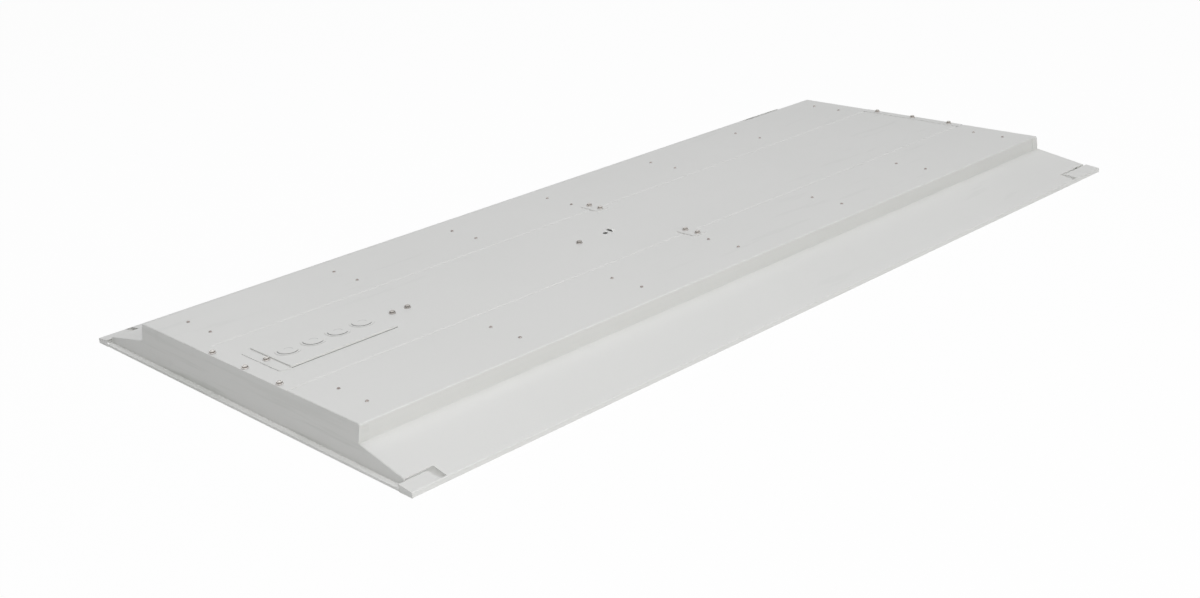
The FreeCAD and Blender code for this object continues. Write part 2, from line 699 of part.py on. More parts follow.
def driver_cover():
    """Channel under the centre spine: screw flange in front, hook over the rail at the rear."""
    hook_z = RAIL_BASE
    face = COVER_FACE_WIDTH / 2
    flange = -(INNER_RAIL_Y - COVER_FLANGE_GAP)
    points = [(COVER_WALL + COVER_HOOK_REACH, hook_z + COVER_SHEET)]
    points += [(COVER_WALL - COVER_SHEET, hook_z + COVER_SHEET)]
    points += [(COVER_WALL - COVER_SHEET, HEM_BASE - COVER_SHEET), (face, COVER_FACE_HEIGHT + COVER_SHEET)]
    points += [(-face, COVER_FACE_HEIGHT + COVER_SHEET), (-COVER_WALL, HEM_BASE), (flange, HEM_BASE)]
    points = [(y, z) for y, z in reversed(points)]
    channel = run_x(cover_section(points), -HALF_LENGTH, HALF_LENGTH)
    channel = channel.common(between_plates(COVER_END_GAP))
    y = -(COVER_TIP + COVER_LEDGE / 2)
    holes = [small_pin(COVER_SCREW_SHANK + SCREW_PLAY, x, y, 0, RAIL_BASE) for x in COVER_SCREW_X]
    return channel.cut(holes)


def cover_section(points):
    """Folded section with the metal on the room side of its points."""
    flipped = [(-y, z) for y, z in points]
    face = folded(flipped, COVER_SHEET, COVER_BEND, across)
    return face.mirror(V(0, 0, 0), V(0, 1, 0))


def cover_screws():
    """Round-head screws that pull the cover's flange up to the front rail."""
    y = -(COVER_TIP + COVER_LEDGE / 2)
    seat = HEM_BASE - COVER_SHEET
    screws = []
    for x in COVER_SCREW_X:
        head = small_pin(COVER_SCREW_HEAD, x, y, seat - COVER_SCREW_HEAD_HEIGHT, seat, 12)
        shank = small_pin(COVER_SCREW_SHANK, x, y, seat, seat + COVER_SCREW_LENGTH)
        screws.append(union([head, shank]))
    return Part.makeCompound(screws)


def driver_body_ends():
    """The two ends of the driver's can, inside its mounting ears."""
    return DRIVER_SCREW_X[0] + DRIVER_EAR_ROOT, DRIVER_SCREW_X[1] - DRIVER_EAR_ROOT


def driver_case():
    """Driver can with a mounting ear at each end, flat under the deck."""
    near, far = driver_body_ends()
    half = DRIVER_WIDTH / 2
    low = DECK_UNDER - DRIVER_HEIGHT + DRIVER_LID
    can = block(near, far, -half, half, low, DECK_UNDER)
    rims = [e for e in edges_of_length(can, far - near) if e.BoundBox.ZMax < low + DRIVER_LID]
    can = can.makeFillet(DRIVER_LID_BEND, rims)
    ears = block(DRIVER_SCREW_X[0] - DRIVER_EAR_END, DRIVER_SCREW_X[1] + DRIVER_EAR_END,
                 -half, half, DECK_UNDER - DRIVER_EAR, DECK_UNDER)
    ears = ears.makeChamfer(DRIVER_EAR_END / 2, edges_of_length(ears, DRIVER_EAR))
    holes = [small_pin(SCREW_SHANK + SCREW_PLAY, x, 0, 0, DECK_HEIGHT) for x in DRIVER_SCREW_X]
    return union([can, ears]).cut(holes)


def driver_lid():
    """Folded lid under the can, with a flange down each long side."""
    near, far = driver_body_ends()
    half = DRIVER_WIDTH / 2 + DRIVER_LID
    low = DECK_UNDER - DRIVER_HEIGHT
    high = low + DRIVER_HEIGHT / 2
    points = [(-half, high), (-half, low), (half, low), (half, high)]
    return run_x(folded(points, DRIVER_LID, DRIVER_LID_BEND, across), near, far)


def terminal_block(x0, x1):
    """Push-in terminal block on one end of the driver."""
    half = TERMINAL_WIDTH / 2
    blank = block(x0, x1, -half, half, TERMINAL_LOW, TERMINAL_HIGH)
    return blank.makeChamfer(DRIVER_EAR, edges_of_length(blank, TERMINAL_WIDTH))


# ---------------------------------------------------------------- wiring

def lead(points, bend):
    """Insulated wire along straight runs joined by tangent arcs."""
    spots = [V(*p) for p in points]
    edges = []
    start = spots[0]
    for before, corner, after in zip(spots, spots[1:], spots[2:]):
        inward = (before - corner).normalize()
        outward = (after - corner).normalize()
        half_turn = inward.getAngle(outward) / 2
        reach = bend / tan(half_turn)
        first = corner + inward * reach
        last = corner + outward * reach
        to_centre = (inward + outward).normalize()
        middle = corner + to_centre * (bend / sin(half_turn) - bend)
        edges.append(Part.LineSegment(start, first).toShape())
        edges.append(Part.Arc(first, middle, last).toShape())
        start = last
    edges.append(Part.LineSegment(start, spots[-1]).toShape())
    path = Part.Wire(edges)
    axis = (spots[1] - spots[0]).normalize()
    sideways = axis.cross(V(0, 0, 1)).normalize()
    upright = axis.cross(sideways)
    corners = [spots[0] + sideways * u + upright * v for u, v in hexagon(LEAD_RADIUS, 0, 0)]
    return path.makePipeShell([Part.makePolygon(corners + corners[:1])], True, False)


def output_leads(side):
    """Pair of leads from the driver to the inlet of one inner board."""
    start = DRIVER_SCREW_X[1] - DRIVER_EAR_ROOT + TERMINAL_LENGTH
    end_y = RIVET_Y[2] - plug_offset() - PLUG_WIDTH / 2 - LEAD_END_GAP
    leads = []
    for i in (0, 1):
        y = LEAD_PITCH * (0.5 + i)
        x = INLET_X + LEAD_PITCH * (0.5 - i)
        route = [(start, side * y, TERMINAL_WIRE_HEIGHT), (x, side * y, TERMINAL_WIRE_HEIGHT)]
        route.append((x, side * end_y, PLUG_WIRE_HEIGHT))
        leads.append(lead(route, OUTPUT_BEND))
    return Part.makeCompound(leads)


def board_links():
    """Short wires that carry on from the inner boards to the outer ones."""
    low = RIVET_Y[2] + plug_offset() + PLUG_WIDTH / 2
    high = RIVET_Y[3] - plug_offset() - PLUG_WIDTH / 2
    wires = []
    for side in (-1, 1):
        for x in (LINK_X - LEAD_PITCH / 2, LINK_X + LEAD_PITCH / 2):
            ends = (low, high) if side > 0 else (-high, -low)
            section = outline(hexagon(LEAD_RADIUS, x, PLUG_WIRE_HEIGHT), along)
            wires.append(run_y(section, *ends))
    return Part.makeCompound(wires)


def supply_lead(place):
    """Lead from one pole of the supply socket to the driver's input terminals."""
    x, y = SOCKET_X + SUPPLY_TURNS[place], SUPPLY_END_Y[place]
    socket_z = DECK_UNDER - SOCKET_HEIGHT / 2
    end_x = DRIVER_SCREW_X[0] + DRIVER_EAR_ROOT - TERMINAL_LENGTH
    start_y = SOCKET_Y + place * LEAD_PITCH
    route = [(SOCKET_X, start_y, socket_z), (x, start_y, socket_z)]
    route += [(x, y, TERMINAL_WIRE_HEIGHT), (end_x, y, TERMINAL_WIRE_HEIGHT)]
    return lead(route, LEAD_BEND)


def ground_lead():
    """Earth lead from the socket's third pole to the ring under the ground screw."""
    socket_z = DECK_UNDER - SOCKET_HEIGHT / 2
    start_y = SOCKET_Y - LEAD_PITCH
    end_y = -RING_OUTER - RING_BARREL - LEAD_END_GAP
    end_z = DECK_UNDER - RING_THICKNESS - LEAD_RADIUS
    route = [(SOCKET_X, start_y, socket_z), (GROUND_SCREW_X, start_y, socket_z)]
    route.append((GROUND_SCREW_X, end_y, end_z))
    return lead(route, LEAD_BEND)


def ground_ring():
    """Ring terminal clamped under the ground screw, with its barrel towards the front."""
    base = DECK_UNDER - RING_THICKNESS
    ring = peg(RING_OUTER, GROUND_SCREW_X, 0, base, DECK_UNDER)
    half = LEAD_RADIUS + RING_THICKNESS
    barrel = block(GROUND_SCREW_X - half, GROUND_SCREW_X + half, -RING_OUTER - RING_BARREL, 0,
                   base, DECK_UNDER)
    hole = small_pin(SCREW_SHANK + SCREW_PLAY, GROUND_SCREW_X, 0, base, DECK_HEIGHT)
    return union([ring, barrel]).cut(hole)


def disconnect_socket():
    """Fixed half of the supply disconnect, flat under the deck."""
    half = SOCKET_WIDTH / 2
    return block(SOCKET_X - SOCKET_LENGTH, SOCKET_X, SOCKET_Y - half, SOCKET_Y + half,
                 DECK_UNDER - SOCKET_HEIGHT, DECK_UNDER)


def disconnect_plug():
    """Loose half of the supply disconnect, with three push-in holes for the building's wires."""
    half = SOCKET_WIDTH / 2 - PLUG_STEP
    far = SOCKET_X - SOCKET_LENGTH
    near = far - CONNECTOR_PLUG_LENGTH
    body = block(near, far, SOCKET_Y - half, SOCKET_Y + half,
                 DECK_UNDER - SOCKET_HEIGHT + PLUG_STEP, DECK_UNDER)
    middle = DECK_UNDER - (SOCKET_HEIGHT - PLUG_STEP) / 2
    holes = []
    for place in (-1, 0, 1):
        y = SOCKET_Y + place * LEAD_PITCH
        section = outline(hexagon(PUSH_IN_RADIUS, y, middle), across)
        holes.append(run_x(section, near, near + CONNECTOR_PLUG_LENGTH / 2))
    return body.cut(holes)


# ---------------------------------------------------------------- access plate

def access_screw_x():
    """Place of the access plate's screw on the centre line."""
    return ACCESS_NEAR - ACCESS_SCREW_INSET


def access_plate():
    """Raised wiring cover: shallow tray, screw tab, tongue under the deck and knockouts."""
    half = ACCESS_WIDTH / 2
    wall = ACCESS_SHEET
    tray = block(ACCESS_NEAR, ACCESS_FAR, -half, half, DECK_HEIGHT, ACCESS_TOP)
    rim = [e for e in tray.Edges if e.BoundBox.ZMin > DECK_HEIGHT + wall]
    tray = tray.makeChamfer(wall / 2, rim)
    hollow = block(ACCESS_NEAR + wall, ACCESS_FAR - wall, -half + wall, half - wall,
                   DECK_HEIGHT, ACCESS_TOP - wall)
    tab = block(ACCESS_NEAR - ACCESS_TAB, ACCESS_NEAR + wall, -half, half,
                DECK_HEIGHT, DECK_HEIGHT + wall)
    corners = [e for e in edges_of_length(tab, wall) if e.BoundBox.XMax < ACCESS_NEAR - wall]
    tab = tab.makeFillet(ACCESS_TAB_CORNER, corners)
    inner = ACCESS_FAR - wall
    base = DECK_UNDER - TONGUE_GAP - wall
    tongue_half = TONGUE_WIDTH / 2
    drop = block(inner - wall, inner, -tongue_half, tongue_half, base, ACCESS_TOP - wall)
    tongue = block(inner - wall, ACCESS_FAR + TONGUE_REACH, -tongue_half, tongue_half,
                   base, base + wall)
    pads = []
    for x in KNOCKOUT_X:
        low = ACCESS_TOP - wall / 2
        pads.append(small_pin(KNOCKOUT_OUTER, x, 0, low, ACCESS_TOP + KNOCKOUT_RISE, 24))
        pads.append(small_pin(KNOCKOUT_INNER, x, 0, low, ACCESS_TOP + 2 * KNOCKOUT_RISE, 24))
    plate = union([tray.cut(hollow), tab, drop, tongue] + pads)
    hole = small_pin(SCREW_SHANK + SCREW_PLAY, access_screw_x(), 0, DECK_HEIGHT, ACCESS_TOP)
    return plate.cut(hole)


# ---------------------------------------------------------------- the fitting

save(housing_pan(), "housing_pan")
far_plate = end_plate()
save(far_plate, "end_plate_far")
save(turned(far_plate, 180), "end_plate_near")

plate_seat = DECK_HEIGHT + SHEET
tie_seat = DECK_HEIGHT + TIE_THICKNESS
save(Part.makeCompound([hex_screw(x, y, plate_seat) for x, y in plate_screw_places()]),
     "end_plate_screws")
save(Part.makeCompound([hex_screw(x, y, tie_seat) for x, y in tie_screw_places()]),
     "tie_plate_screws")
save(Part.makeCompound([hex_screw(x, 0, DECK_HEIGHT) for x in DRIVER_SCREW_X]), "driver_screws")
save(hex_screw(GROUND_SCREW_X, 0, DECK_HEIGHT), "ground_screw")
save(hex_screw(access_screw_x(), 0, DECK_HEIGHT + ACCESS_SHEET), "access_plate_screw")
save(Part.makeCompound([rivet(x, y) for x in RIVET_X for y in RIVET_Y]), "board_rivets")

rear_tie = tie_plate()
save(rear_tie, "tie_plate_rear")
save(mirrored(rear_tie), "tie_plate_front")

for number, row_y in enumerate(RIVET_Y, start=1):
    save(led_board(row_y), "led_board_" + str(number))
    save(led_chips(row_y), "led_chips_" + str(number))
save(board_plugs(), "board_connectors")

rear_rail = inner_rail()
save(rear_rail, "inner_lens_rail_rear")
save(mirrored(rear_rail).cut(rail_screw_holes()), "inner_lens_rail_front")
rear_outer = outer_rail()
save(rear_outer, "outer_lens_rail_rear")
save(mirrored(rear_outer), "outer_lens_rail_front")
rear_bracket = spine_bracket()
save(rear_bracket, "spine_bracket_rear")
save(mirrored(rear_bracket), "spine_bracket_front")
rear_lens = lens()
save(rear_lens, "lens_rear")
save(mirrored(rear_lens), "lens_front")

save(driver_cover(), "driver_cover")
save(cover_screws(), "cover_screws")
save(driver_case(), "driver_case")
save(driver_lid(), "driver_lid")
can_near, can_far = driver_body_ends()
save(terminal_block(can_near - TERMINAL_LENGTH, can_near), "driver_input_terminals")
save(terminal_block(can_far, can_far + TERMINAL_LENGTH), "driver_output_terminals")

save(output_leads(-1), "output_leads_front")
save(output_leads(1), "output_leads_rear")
save(board_links(), "board_link_wires")
save(supply_lead(0), "supply_lead_white")
save(supply_lead(1), "supply_lead_black")
save(ground_lead(), "ground_lead")
save(ground_ring(), "ground_ring")
save(disconnect_socket(), "disconnect_socket")
save(disconnect_plug(), "disconnect_plug")

save(access_plate(), "access_plate")
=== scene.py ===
from math import cos, radians, sin

import bpy
import numpy as np
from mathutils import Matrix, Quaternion, Vector


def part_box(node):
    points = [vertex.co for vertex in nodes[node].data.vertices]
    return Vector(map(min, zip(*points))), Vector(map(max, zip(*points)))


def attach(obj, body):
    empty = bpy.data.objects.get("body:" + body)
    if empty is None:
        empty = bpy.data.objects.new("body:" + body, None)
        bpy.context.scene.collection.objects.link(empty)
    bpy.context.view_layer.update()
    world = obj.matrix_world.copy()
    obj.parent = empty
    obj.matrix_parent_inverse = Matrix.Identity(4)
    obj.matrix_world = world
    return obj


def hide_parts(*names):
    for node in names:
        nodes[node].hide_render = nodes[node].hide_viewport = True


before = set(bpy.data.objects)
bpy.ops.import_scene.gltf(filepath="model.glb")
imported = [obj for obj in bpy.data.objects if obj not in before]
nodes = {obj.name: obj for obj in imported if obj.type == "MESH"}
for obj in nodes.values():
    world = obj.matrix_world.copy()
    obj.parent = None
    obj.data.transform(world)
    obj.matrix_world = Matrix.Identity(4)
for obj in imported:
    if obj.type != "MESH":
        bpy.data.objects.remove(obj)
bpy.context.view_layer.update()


# ---- Studio: a large overhead bank, softer banks at the front, the near corner and the rear, and a
# glow from under the table. The camera looks down on the near left corner of the fitting.

def lamp(name, place, target, size, watts, color=(1.0, 1.0, 1.0)):
    """Rectangular area light of (width, height) metres, aimed from its place at a point."""
    data = bpy.data.lights.new(name, "AREA")
    data.shape = "RECTANGLE"
    data.size, data.size_y = size
    data.energy = watts
    data.color = color
    light = bpy.data.objects.new(name, data)
    light.location = place
    light.rotation_mode = "QUATERNION"
    light.rotation_quaternion = (Vector(target) - Vector(place)).to_track_quat("-Z", "Y")
    bpy.context.scene.collection.objects.link(light)


lamp("overhead_bank", (0.0, 0.0, 3.2), (0.0, 0.0, 0.0), (3.4, 2.6), 55.0, (0.955, 0.955, 1.0))
lamp("front_bank", (-0.5, -3.0, 1.5), (0.0, 0.0, 0.0), (3.2, 1.6), 33.0)
lamp("corner_bank", (-1.4, -2.2, 2.2), (-0.2, 0.0, 0.0), (2.2, 1.6), 26.5)
lamp("rear_bank", (0.0, 3.0, 1.6), (0.0, 0.0, 0.0), (3.2, 1.6), 6.5)
lamp("table_glow", (0.0, 0.0, -2.0), (0.0, 0.0, 0.0), (2.4, 2.0), 30.0)

world = bpy.data.worlds.new("studio_walls")
bpy.context.scene.world = world
world.use_nodes = True
walls = world.node_tree
walls.nodes.clear()
room = walls.nodes.new("ShaderNodeBackground")
room.inputs["Color"].default_value = (0.985, 1.0, 0.94, 1.0)
room.inputs["Strength"].default_value = 0.13
# Camera, glossy and transmitted rays see plain white walls, so metal shows a white studio.
white = walls.nodes.new("ShaderNodeBackground")
white.inputs["Strength"].default_value = 1.0
ray = walls.nodes.new("ShaderNodeLightPath")
seen = ray.outputs["Is Camera Ray"]
for kind in ("Is Glossy Ray", "Is Transmission Ray"):
    larger = walls.nodes.new("ShaderNodeMath")
    larger.operation = "MAXIMUM"
    walls.links.new(seen, larger.inputs[0])
    walls.links.new(ray.outputs[kind], larger.inputs[1])
    seen = larger.outputs[0]
either = walls.nodes.new("ShaderNodeMixShader")
walls.links.new(seen, either.inputs[0])
walls.links.new(room.outputs[0], either.inputs[1])
walls.links.new(white.outputs[0], either.inputs[2])
sky = walls.nodes.new("ShaderNodeOutputWorld")
walls.links.new(either.outputs[0], sky.inputs["Surface"])

view_from = Vector((-1.3101, -1.3376, 0.6573))
view_azimuth, view_elevation, view_roll = radians(-42.552), radians(21.059), radians(-4.166)
view_back = Vector((sin(view_azimuth) * cos(view_elevation),
                    -cos(view_azimuth) * cos(view_elevation), sin(view_elevation)))
camera_data = bpy.data.cameras.new("camera")
camera_data.lens = 46.13
camera_data.sensor_width = 36.0
camera_data.clip_start = 0.05
camera = bpy.data.objects.new("camera", camera_data)
camera.location = view_from
camera.rotation_mode = "QUATERNION"
upright_aim = (-view_back).to_track_quat("-Z", "Y")
camera.rotation_quaternion = upright_aim @ Quaternion((0, 0, 1), view_roll)
bpy.context.scene.collection.objects.link(camera)
bpy.context.scene.camera = camera
bpy.context.scene.view_settings.view_transform = "Standard"


# ---- Housing pan: one sheet of 0.6 mm steel, cut, pierced and folded on a press brake, then
# sprayed and baked satin off-white. Two shallow creases stiffen the deck, and every rivet dimples
# it a little.

class Shade:
    """One value of a material: arithmetic on it adds Math nodes to the material's node tree."""

    def __init__(self, tree, socket):
        self.tree = tree
        self.socket = socket

    def node(self, kind, sockets, output=0, **settings):
        """Add any node: its settings first, then values or links for its sockets."""
        made = self.tree.nodes.new("ShaderNode" + kind)
        for name, value in settings.items():
            setattr(made, name, value)
        for name, value in sockets.items():
            if isinstance(value, Shade):
                self.tree.links.new(value.socket, made.inputs[name])
            else:
                made.inputs[name].default_value = value
        return Shade(self.tree, made.outputs[output])

    def math(self, operation, other=0.0):
        return self.node("Math", {0: self, 1: other}, operation=operation)

    def __add__(self, other):
        return self.math("ADD", other)

    __radd__ = __add__

    def __sub__(self, other):
        return self.math("SUBTRACT", other)

    def __rsub__(self, other):
        return self * -1.0 + other

    def __mul__(self, other):
        return self.math("MULTIPLY", other)

    __rmul__ = __mul__

    def __truediv__(self, other):
        return self.math("DIVIDE", other)

    def __abs__(self):
        return self.math("ABSOLUTE")


def start_material(name):
    """New material, and the Object coordinates in metres as a vector and as x, y and z."""
    material = bpy.data.materials.new(name)
    material.use_nodes = True
    tree = material.node_tree
    tree.nodes.clear()
    spot = Shade(tree, tree.nodes.new("ShaderNodeTexCoord").outputs["Object"])
    axes = [spot.node("SeparateXYZ", {0: spot}, output=axis) for axis in "XYZ"]
    return material, spot, axes


def finish_material(material, color, roughness, height, depth, **constants):
    """Close a material: colour and roughness may vary, height is the relief, of depth metres."""
    tree = material.node_tree
    surface = tree.nodes.new("ShaderNodeBsdfPrincipled")
    for name, value in constants.items():
        surface.inputs[name.replace("_", " ").title()].default_value = value
    tree.links.new(color.socket, surface.inputs["Base Color"])
    tree.links.new(roughness.socket, surface.inputs["Roughness"])
    relief = height.node("Bump", {"Strength": 1.0, "Distance": depth, "Height": height})
    tree.links.new(relief.socket, surface.inputs["Normal"])
    output = tree.nodes.new("ShaderNodeOutputMaterial")
    tree.links.new(surface.outputs[0], output.inputs["Surface"])
    return material


def grain(spot, scale, detail=2.0, stretch=(1.0, 1.0, 1.0)):
    """Noise between about 0.3 and 0.7, scale features a metre, stretched along the axes."""
    place = spot.node("VectorMath", {0: spot, 1: stretch}, operation="MULTIPLY")
    return spot.node("TexNoise", {"Vector": place, "Scale": scale, "Detail": detail})


def between(value, low, high):
    """Smooth step: 0 up to low, 1 from high on."""
    return value.node("MapRange", {"Value": value, "From Min": low, "From Max": high},
                      interpolation_type="SMOOTHSTEP")


def blend_colors(amount, first, second):
    """First colour where amount is 0, second where it is 1. Either may vary."""
    first, second = [c if isinstance(c, Shade) else (*c, 1.0) for c in (first, second)]
    return amount.node("Mix", {0: amount, 6: first, 7: second}, output=2, data_type="RGBA")


def wear(spot):
    """Rubbed and handled places: long thin scuffs where two noises agree."""
    scuff = between(grain(spot, 9.0, 6.0, (1.0, 6.0, 6.0)), 0.60, 0.66)
    patch = between(grain(spot, 3.1, 1.0), 0.50, 0.62)
    return scuff * patch


paint_white = (0.735, 0.735, 0.715)
paint_shadow = (0.640, 0.645, 0.625)
# Near black for dark joint lines and for painted shade in holes, dimples and under edges.
joint_and_shade_dark = (0.035, 0.035, 0.032)


def paint_layer(spot, joint_and_shade=None):
    """Colour, roughness and height of the baked paint; the last mask is 1 at dark joints and
    painted shade.
    """
    cloud = between(grain(spot, 2.6, 3.0), 0.30, 0.72)
    speck = between(grain(spot, 620.0, 1.0), 0.66, 0.74)
    wear_and_highlight = wear(spot)
    toned = blend_colors(cloud * 0.22 + speck * 0.25 + wear_and_highlight * 0.12, paint_white, paint_shadow)
    if joint_and_shade is not None:
        # Dark joints and painted shade both take the near black.
        toned = blend_colors(joint_and_shade, toned, joint_and_shade_dark)
    peel = grain(spot, 420.0, 2.0)
    roughness = 0.44 + 0.10 * (grain(spot, 30.0, 3.0) - 0.5) + wear_and_highlight * 0.10
    return toned, roughness, peel


def nearest(value, stations):
    """Distance along one axis to the nearest of the stations."""
    away = abs(value - stations[0])
    for station in stations[1:]:
        away = away.math("MINIMUM", abs(value - station))
    return away


rivet_columns = (-0.5565, -0.3575, -0.1740, -0.0085, 0.1925, 0.3765, 0.5655)
rivet_rows = (-0.171, -0.123, 0.123, 0.171)
crease_y, crease_end = 0.084, 0.5833
tether_x, tether_rim = -0.065, 0.0031
deck_under, deck_skin = 0.0395, 0.0410
dimple_radii, rivet_shade_radii = (0.002, 0.009), (0.0021, 0.0030)
crease_half_width, relief_radii = (0.0004, 0.0020), (0.0010, 0.0016)
# Painted highlight: a lighter colour along each crease, where the bend catches the light.
crease_highlight_color = (0.78, 0.78, 0.76)
paint_depth = 0.00006


def pan_paint():
    """Baked paint, with a dimple round each rivet and painted shade in a ring round it, a painted
    highlight along each crease, and shade in the creases' relief holes and round the tether hole's
    raw rim."""
    material, spot, (x, y, z) = start_material("pan_paint")
    across, down = nearest(x, rivet_columns), nearest(y, rivet_rows)
    away = (across * across + down * down).math("SQRT")
    on_deck = between(z, deck_under, deck_skin)
    dimple = (1.0 - between(away, *dimple_radii)) * on_deck
    # Painted shade: a faint dark ring round each rivet, in its dimple.
    ring = (1.0 - between(away, *rivet_shade_radii)) * on_deck
    # Painted highlight line along each crease.
    crease_highlight = (1.0 - between(abs(abs(y) - crease_y), *crease_half_width)) * on_deck
    end_x, end_y = abs(x) - crease_end, abs(y) - crease_y
    from_end = (end_x * end_x + end_y * end_y).math("SQRT")
    relief_hole = 1.0 - between(from_end, *relief_radii)
    along_tether = x - tether_x
    from_tether = (along_tether * along_tether + y * y).math("SQRT")
    rim = 1.0 - between(from_tether, tether_rim, tether_rim + 0.0003)
    shaded = (ring * 0.18).math("MAXIMUM", (relief_hole * 0.8).math("MAXIMUM", rim * 0.9))
    color, roughness, peel = paint_layer(spot, joint_and_shade=shaded * on_deck)
    color = blend_colors(crease_highlight * 0.1, color, crease_highlight_color)
    height = peel - dimple * 2.2
    return finish_material(material, color, roughness - crease_highlight * 0.08, height, paint_depth)


def dress(node, material):
    """Give a node of the frame its finished material."""
    for place in range(max(1, len(nodes[node].material_slots))):
        if len(nodes[node].material_slots) == 0:
            nodes[node].data.materials.append(material)
        nodes[node].material_slots[place].material = material


dress("housing_pan", pan_paint())


# ---- End plates: a folded plate closes each end of the pan. Its top tab is screwed to the deck and
# its foot makes the resting ledge. The press leaves long faint draw marks along the plate.

def end_plate_paint():
    """Baked paint with draw marks along the plate, stronger towards its foot."""
    material, spot, (x, y, z) = start_material("end_plate_paint")
    drawn = grain(spot, 5.0, 5.0, (6.0, 1.0, 26.0))
    marks = between(drawn, 0.52, 0.66) * (1.0 - between(z, 0.004, 0.038) * 0.6)
    color, roughness, peel = paint_layer(spot)
    color = blend_colors(marks * 0.55, color, (0.60, 0.61, 0.58))
    height = peel - marks * 0.8
    return finish_material(material, color, roughness + marks * 0.06, height, paint_depth)


plate_paint = end_plate_paint()
dress("end_plate_near", plate_paint)
dress("end_plate_far", plate_paint)


# ---- Access plate: a shallow folded cover over the wiring opening, painted with the pan. Its four
# knockouts are sheared nearly through: each cut is a dark line, with painted shade towards the near
# front corner, fading towards the tie that still holds the disc. The punch leaves a faint ring in
# its middle.

knockout_row = (-0.535, -0.503, -0.471, -0.439)
knockout_rings = ((0.0143, 0.0440, 0.16), (0.0111, 0.04435, 0.95))
near_corner_direction = (-0.675, -0.738)
punch_radius = 0.0048
plate_half_width, plate_near_end, plate_foot = 0.0395, -0.557, 0.0415


def access_paint():
    """Baked paint: knockout cuts in painted shade towards the near corner, painted shadow at the
    long sides' foot.
    """
    material, spot, (x, y, z) = start_material("access_paint")
    offset = x - knockout_row[0]
    for station in knockout_row[1:]:
        other = x - station
        nearer = abs(other).math("LESS_THAN", abs(offset))
        offset = offset + nearer * (other - offset)
    away = (offset * offset + y * y).math("SQRT")
    # Painted shade: each cut darkens towards the near front corner and fades away from it.
    near_corner_shade = between((offset * near_corner_direction[0] + y * near_corner_direction[1]) / away, 0.0, 0.55)
    cut = None
    for radius, level, depth in knockout_rings:
        line = between(away, radius - 0.0003, radius) * (
            1.0 - between(away, radius + 0.0007, radius + 0.0009))
        line = line * (1.0 - between(z, level + 0.00006, level + 0.00016)) * depth
        cut = line if cut is None else cut.math("MAXIMUM", line)
    punched = between(away, punch_radius - 0.0001, punch_radius + 0.0001) * (
        1.0 - between(away, punch_radius + 0.0005, punch_radius + 0.0008))
    far_side = between((offset * near_corner_direction[0] + y * near_corner_direction[1]) / away * -1.0, 0.1, 0.6)
    cut = (cut * near_corner_shade).math("MAXIMUM", punched * far_side * 0.45) * between(z, 0.0432, 0.0434)
    # Painted shadow: a dark line along the foot of the long sides, where the plate stands a little
    # clear of the deck.
    foot = (1.0 - between(z, plate_foot + 0.0005, plate_foot + 0.0008)) * between(
        abs(y), plate_half_width - 0.0004, plate_half_width - 0.0001)
    foot = foot * between(z, plate_foot - 0.0004, plate_foot - 0.0002) * 0.75
    foot = foot * between(x, plate_near_end - 0.0002, plate_near_end + 0.0002)
    color, roughness, peel = paint_layer(spot, joint_and_shade=cut.math("MAXIMUM", foot))
    return finish_material(material, color, roughness, peel - cut * 3.0, paint_depth)


dress("access_plate", access_paint())


# ---- Tie plates, rails, brackets and the driver cover: cut from thicker sheet, folded and painted
# the same off-white before the fitting is put together.

def part_paint():
    """Baked paint on a small folded part."""
    material, spot, axes = start_material("part_paint")
    color, roughness, peel = paint_layer(spot)
    return finish_material(material, color, roughness, peel, paint_depth)


small_part_paint = part_paint()
for side in ("front", "rear"):
    for part in ("tie_plate_", "inner_lens_rail_", "outer_lens_rail_", "spine_bracket_"):
        dress(part + side, small_part_paint)
dress("driver_cover", small_part_paint)


# ---- Hexagon screws: washer-head sheet-metal screws of zinc-plated steel, cold headed with a
# dished top, driven down through the tabs, the tie plates, the driver's ears and the access plate.

def ring_mesh(radii, heights, flats=0.0, lobes=0.0, turns=36):
    """Closed surface of rings about the upright axis, capped by a fan at each end.

    A point at turn t on ring i lies at radius radii[i] times two factors. The first is 1 on round
    rings and, where flats is 1, cos 30 degrees over the cosine of the angle to the nearest flat's
    middle. The second is 1 less lobes times the root of |sin 2t|, which leaves a four-armed cross.
    """
    angle = np.arange(turns) * 2 * np.pi / turns
    radii, heights = np.asarray(radii, float), np.asarray(heights, float)
    flats = np.broadcast_to(flats, radii.shape)[:, None]
    lobes = np.broadcast_to(lobes, radii.shape)[:, None]
    hexagon = cos(radians(30)) / np.cos((angle + np.pi / 6) % (np.pi / 3) - np.pi / 6)
    cross = 1 - lobes * np.sqrt(np.abs(np.sin(2 * angle)))
    reach = radii[:, None] * (1 - flats + flats * hexagon) * cross
    rings = np.stack([reach * np.cos(angle), reach * np.sin(angle),
                      np.broadcast_to(heights[:, None], reach.shape)], axis=-1).reshape(-1, 3)
    ends = [[0.0, 0.0, heights[0]], [0.0, 0.0, heights[-1]]]
    ring, step = np.meshgrid(np.arange(len(radii) - 1), np.arange(turns), indexing="ij")
    here, beside = ring * turns + step, ring * turns + (step + 1) % turns
    first, after = np.arange(turns), (np.arange(turns) + 1) % turns
    last, low, high = len(rings) - turns, np.full(turns, len(rings)), np.full(turns, len(rings) + 1)
    faces = [np.stack([here, beside, beside + turns], axis=-1).reshape(-1, 3),
             np.stack([here, beside + turns, here + turns], axis=-1).reshape(-1, 3),
             np.stack([low, after, first], axis=-1),
             np.stack([high, last + first, last + after], axis=-1)]
    return np.concatenate([rings, ends]), np.concatenate(faces)


def repeated(points, faces, places):
    """Copies of one mesh, moved to each place."""
    shift = np.arange(len(places))[:, None, None] * len(points)
    return ((points[None] + np.asarray(places, float)[:, None]).reshape(-1, 3),
            (faces[None] + shift).reshape(-1, 3))


